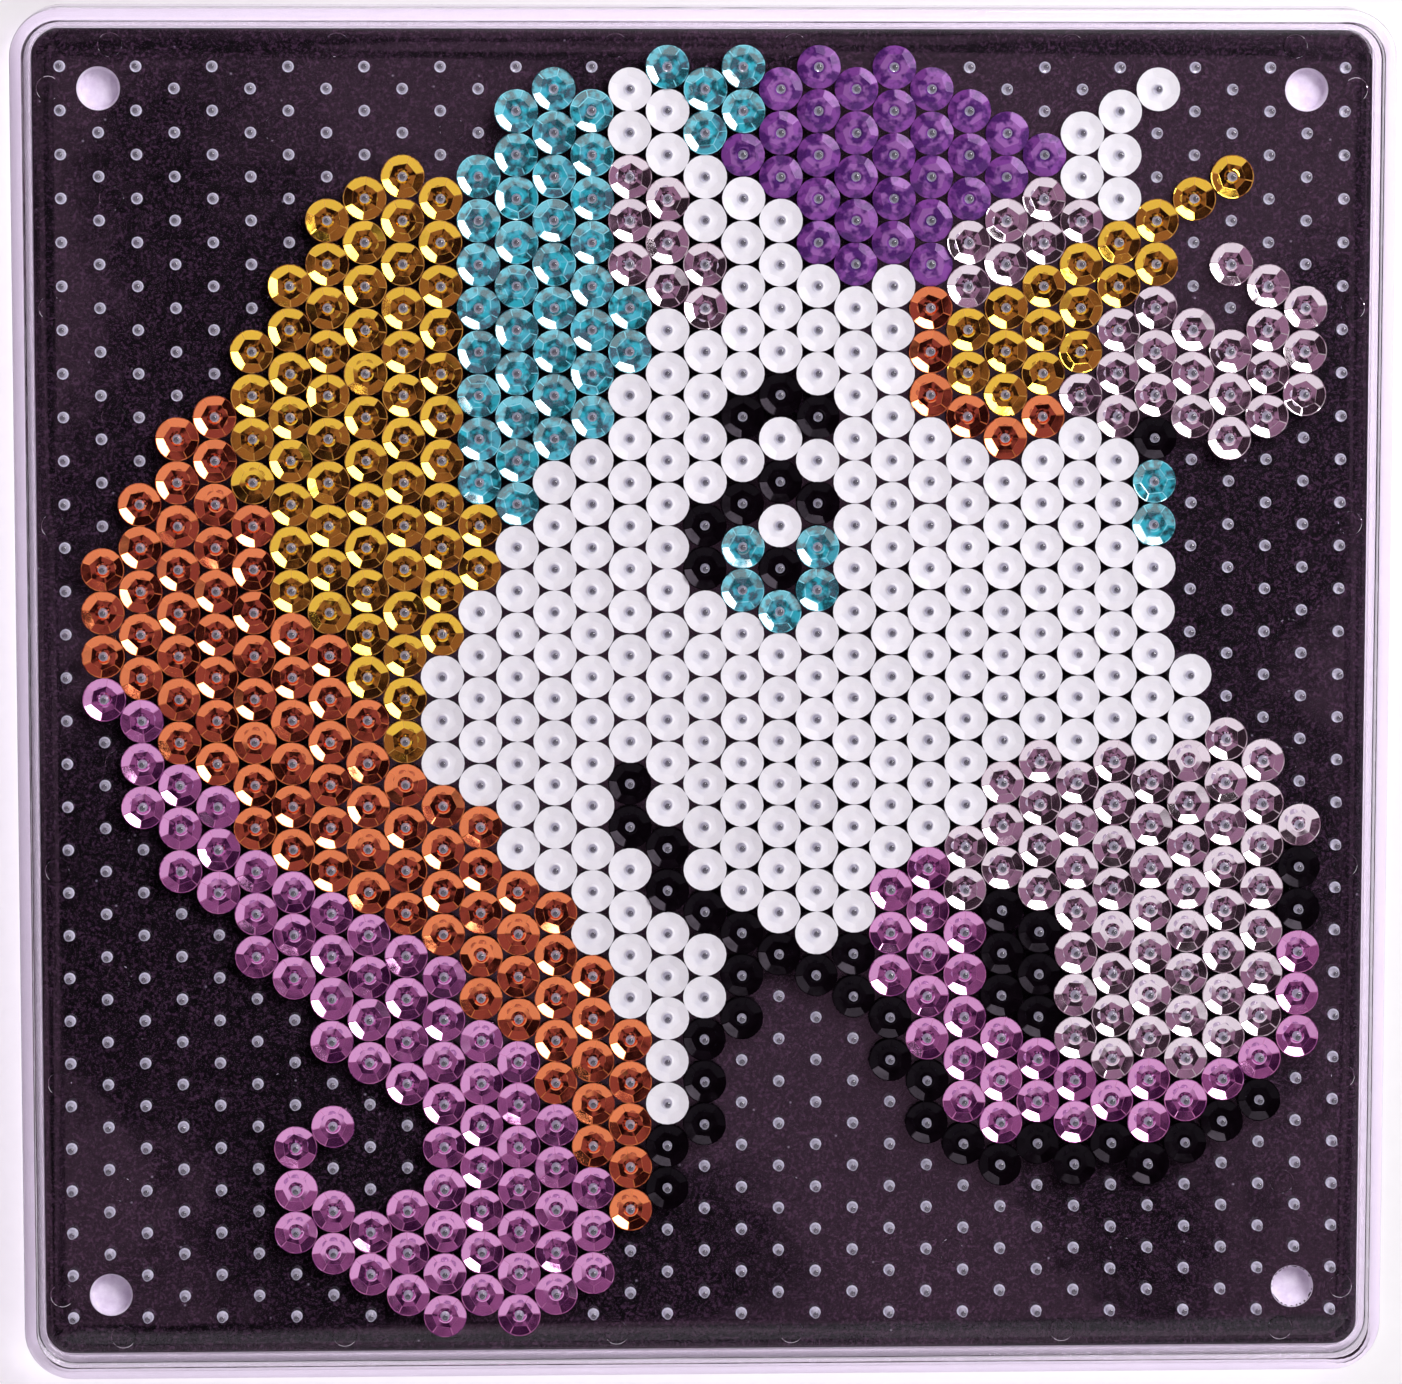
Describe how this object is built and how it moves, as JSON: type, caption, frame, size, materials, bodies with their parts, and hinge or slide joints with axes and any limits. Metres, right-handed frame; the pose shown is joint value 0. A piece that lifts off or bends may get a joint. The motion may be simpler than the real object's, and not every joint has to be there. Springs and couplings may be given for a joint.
{
  "type": "sequin peg board picture",
  "caption": "Flat square clear tray of staggered pins over a black card, with cup sequins threaded on the pins to draw a unicorn's head.",
  "frame": {"origin": "centre of the outline on the surface that the board lies on", "axes": "+Z out of the picture, +Y to the top of the picture, +X to its right"},
  "size_m": [0.1912, 0.1912, 0.009],
  "materials": {
    "clear_plastic": "clear moulded polystyrene, glossy",
    "black_card": "black card, matt with a fine fibre grain",
    "film_white": "opaque white film, satin",
    "film_pale_pink": "pale pink metallic translucent film, glossy",
    "film_teal": "clear teal film, glossy",
    "film_purple": "purple translucent film, glossy",
    "film_magenta": "magenta metallic film, glossy",
    "film_gold": "gold metallic film, glossy",
    "film_orange": "orange metallic film, glossy",
    "film_black": "opaque black film, glossy"
  },
  "bodies": {
    "board": {"peg_board": "clear_plastic"},
    "card": {"backing_card": "black_card"},
    "black_brows_sequins": {"black_brows": "film_black"},
    "black_near_eye_sequins": {"black_near_eye": "film_black"},
    "teal_near_iris_sequins": {"teal_near_iris": "film_teal"},
    "teal_far_iris_sequins": {"teal_far_iris": "film_teal"},
    "black_jaw_sequins": {"black_jaw": "film_black"},
    "black_chin_sequins": {"black_chin": "film_black"},
    "black_throat_sequins": {"black_throat": "film_black"},
    "black_nostril_sequins": {"black_nostril": "film_black"},
    "black_lip_sequins": {"black_lip": "film_black"},
    "purple_forelock_sequins": {"purple_forelock": "film_purple"},
    "teal_mane_sequins": {"teal_mane": "film_teal"},
    "teal_tuft_sequins": {"teal_tuft": "film_teal"},
    "pink_near_ear_sequins": {"pink_near_ear": "film_pale_pink"},
    "pink_far_ear_sequins": {"pink_far_ear": "film_pale_pink"},
    "gold_horn_sequins": {"gold_horn": "film_gold"},
    "orange_horn_base_sequins": {"orange_horn_base": "film_orange"},
    "pink_mane_tuft_sequins": {"pink_mane_tuft": "film_pale_pink"},
    "gold_mane_sequins": {"gold_mane": "film_gold"},
    "orange_mane_sequins": {"orange_mane": "film_orange"},
    "magenta_curl_sequins": {"magenta_curl": "film_magenta"},
    "magenta_mane_sequins": {"magenta_mane": "film_magenta"},
    "pink_muzzle_sequins": {"pink_muzzle": "film_pale_pink"},
    "magenta_lip_sequins": {"magenta_lip": "film_magenta"},
    "white_near_ear_sequins": {"white_near_ear": "film_white"},
    "white_far_ear_sequins": {"white_far_ear": "film_white"},
    "white_neck_sequins": {"white_neck": "film_white"},
    "white_face_sequins": {"white_face": "film_white"}
  },
  "joints": [
    {"name": "card_off_posts", "type": "slide", "parent": "board", "child": "card", "axis": [0, 0, -1], "range_m": [0, 0.012]},
    {"name": "black_brows_lift", "type": "slide", "parent": "board", "child": "black_brows_sequins", "axis": [0, 0, 1], "range_m": [0, 0.012]},
    {"name": "black_near_eye_lift", "type": "slide", "parent": "board", "child": "black_near_eye_sequins", "axis": [0, 0, 1], "range_m": [0, 0.012]},
    {"name": "teal_near_iris_lift", "type": "slide", "parent": "board", "child": "teal_near_iris_sequins", "axis": [0, 0, 1], "range_m": [0, 0.012]},
    {"name": "teal_far_iris_lift", "type": "slide", "parent": "board", "child": "teal_far_iris_sequins", "axis": [0, 0, 1], "range_m": [0, 0.012]},
    {"name": "black_jaw_lift", "type": "slide", "parent": "board", "child": "black_jaw_sequins", "axis": [0, 0, 1], "range_m": [0, 0.012]},
    {"name": "black_chin_lift", "type": "slide", "parent": "board", "child": "black_chin_sequins", "axis": [0, 0, 1], "range_m": [0, 0.012]},
    {"name": "black_throat_lift", "type": "slide", "parent": "board", "child": "black_throat_sequins", "axis": [0, 0, 1], "range_m": [0, 0.012]},
    {"name": "black_nostril_lift", "type": "slide", "parent": "board", "child": "black_nostril_sequins", "axis": [0, 0, 1], "range_m": [0, 0.012]},
    {"name": "black_lip_lift", "type": "slide", "parent": "board", "child": "black_lip_sequins", "axis": [0, 0, 1], "range_m": [0, 0.012]},
    {"name": "purple_forelock_lift", "type": "slide", "parent": "board", "child": "purple_forelock_sequins", "axis": [0, 0, 1], "range_m": [0, 0.012]},
    {"name": "teal_mane_lift", "type": "slide", "parent": "board", "child": "teal_mane_sequins", "axis": [0, 0, 1], "range_m": [0, 0.012]},
    {"name": "teal_tuft_lift", "type": "slide", "parent": "board", "child": "teal_tuft_sequins", "axis": [0, 0, 1], "range_m": [0, 0.012]},
    {"name": "pink_near_ear_lift", "type": "slide", "parent": "board", "child": "pink_near_ear_sequins", "axis": [0, 0, 1], "range_m": [0, 0.012]},
    {"name": "pink_far_ear_lift", "type": "slide", "parent": "board", "child": "pink_far_ear_sequins", "axis": [0, 0, 1], "range_m": [0, 0.012]},
    {"name": "gold_horn_lift", "type": "slide", "parent": "board", "child": "gold_horn_sequins", "axis": [0, 0, 1], "range_m": [0, 0.012]},
    {"name": "orange_horn_base_lift", "type": "slide", "parent": "board", "child": "orange_horn_base_sequins", "axis": [0, 0, 1], "range_m": [0, 0.012]},
    {"name": "pink_mane_tuft_lift", "type": "slide", "parent": "board", "child": "pink_mane_tuft_sequins", "axis": [0, 0, 1], "range_m": [0, 0.012]},
    {"name": "gold_mane_lift", "type": "slide", "parent": "board", "child": "gold_mane_sequins", "axis": [0, 0, 1], "range_m": [0, 0.012]},
    {"name": "orange_mane_lift", "type": "slide", "parent": "board", "child": "orange_mane_sequins", "axis": [0, 0, 1], "range_m": [0, 0.012]},
    {"name": "magenta_curl_lift", "type": "slide", "parent": "board", "child": "magenta_curl_sequins", "axis": [0, 0, 1], "range_m": [0, 0.012]},
    {"name": "magenta_mane_lift", "type": "slide", "parent": "board", "child": "magenta_mane_sequins", "axis": [0, 0, 1], "range_m": [0, 0.012]},
    {"name": "pink_muzzle_lift", "type": "slide", "parent": "board", "child": "pink_muzzle_sequins", "axis": [0, 0, 1], "range_m": [0, 0.012]},
    {"name": "magenta_lip_lift", "type": "slide", "parent": "board", "child": "magenta_lip_sequins", "axis": [0, 0, 1], "range_m": [0, 0.012]},
    {"name": "white_near_ear_lift", "type": "slide", "parent": "board", "child": "white_near_ear_sequins", "axis": [0, 0, 1], "range_m": [0, 0.012]},
    {"name": "white_far_ear_lift", "type": "slide", "parent": "board", "child": "white_far_ear_sequins", "axis": [0, 0, 1], "range_m": [0, 0.012]},
    {"name": "white_neck_lift", "type": "slide", "parent": "board", "child": "white_neck_sequins", "axis": [0, 0, 1], "range_m": [0, 0.012]},
    {"name": "white_face_lift", "type": "slide", "parent": "board", "child": "white_face_sequins", "axis": [0, 0, 1], "range_m": [0, 0.012]}
  ]
}
